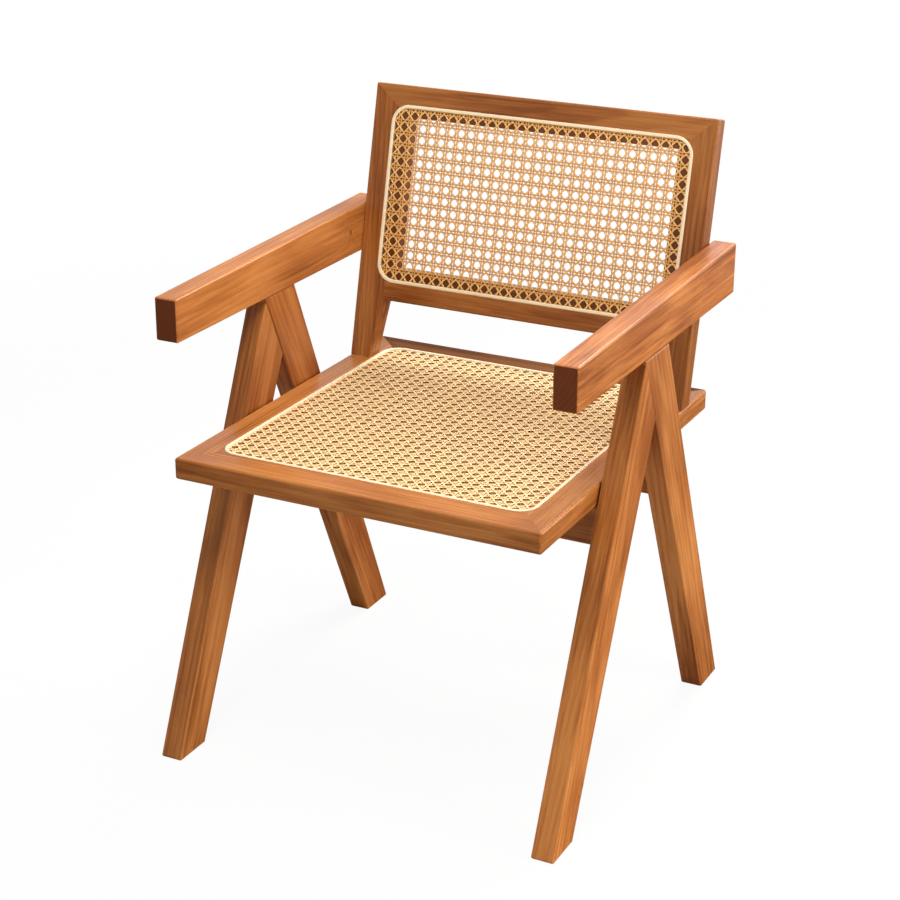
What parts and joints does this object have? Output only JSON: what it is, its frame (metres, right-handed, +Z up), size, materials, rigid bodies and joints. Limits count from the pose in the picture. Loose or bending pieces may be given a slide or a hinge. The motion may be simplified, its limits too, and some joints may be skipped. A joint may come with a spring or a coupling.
{
  "type": "rattan chair",
  "caption": "Wooden armchair with A-shaped leg frames, flat arms, and a mitred seat frame and a leaning back frame filled with open woven cane.",
  "frame": {"origin": "on the floor, at the middle of the bounding box", "axes": "+X to the right as seen from the front and in the picture, which is the sitter's left, +Y to the back, +Z up"},
  "size_m": [0.557, 0.5658, 0.7848],
  "materials": {
    "frame_wood": "satin oil, warm orange-brown with fine straight grain",
    "dowel_wood": "raw turned hardwood",
    "cane": "glossy rattan skin, tan",
    "spline": "satin reed, ivory",
    "board": "matte brown stain",
    "steel": "plain"
  },
  "bodies": {
    "root": {"seat_front_rail": "frame_wood", "seat_right_rail": "frame_wood", "seat_rear_rail": "frame_wood", "seat_left_rail": "frame_wood", "front_crossbar": "frame_wood", "rear_crossbar": "frame_wood", "left_front_leg": "frame_wood", "left_rear_leg": "frame_wood", "right_front_leg": "frame_wood", "right_rear_leg": "frame_wood", "left_arm": "frame_wood", "right_arm": "frame_wood", "left_upright": "frame_wood", "right_upright": "frame_wood", "back_top_rail": "frame_wood", "back_bottom_rail": "frame_wood", "seat_mitre_dowels": "dowel_wood", "back_mitre_dowels": "dowel_wood", "back_rail_dowels": "dowel_wood", "upright_foot_dowels": "dowel_wood", "leg_joint_dowels": "dowel_wood", "crossbar_pegs": "dowel_wood", "arm_upright_pegs": "dowel_wood", "arm_leg_pegs": "dowel_wood", "back_cane": "cane", "seat_cane": "cane", "back_spline": "spline", "seat_spline": "spline", "seat_board": "board", "seat_screws": "steel"}
  },
  "joints": []
}
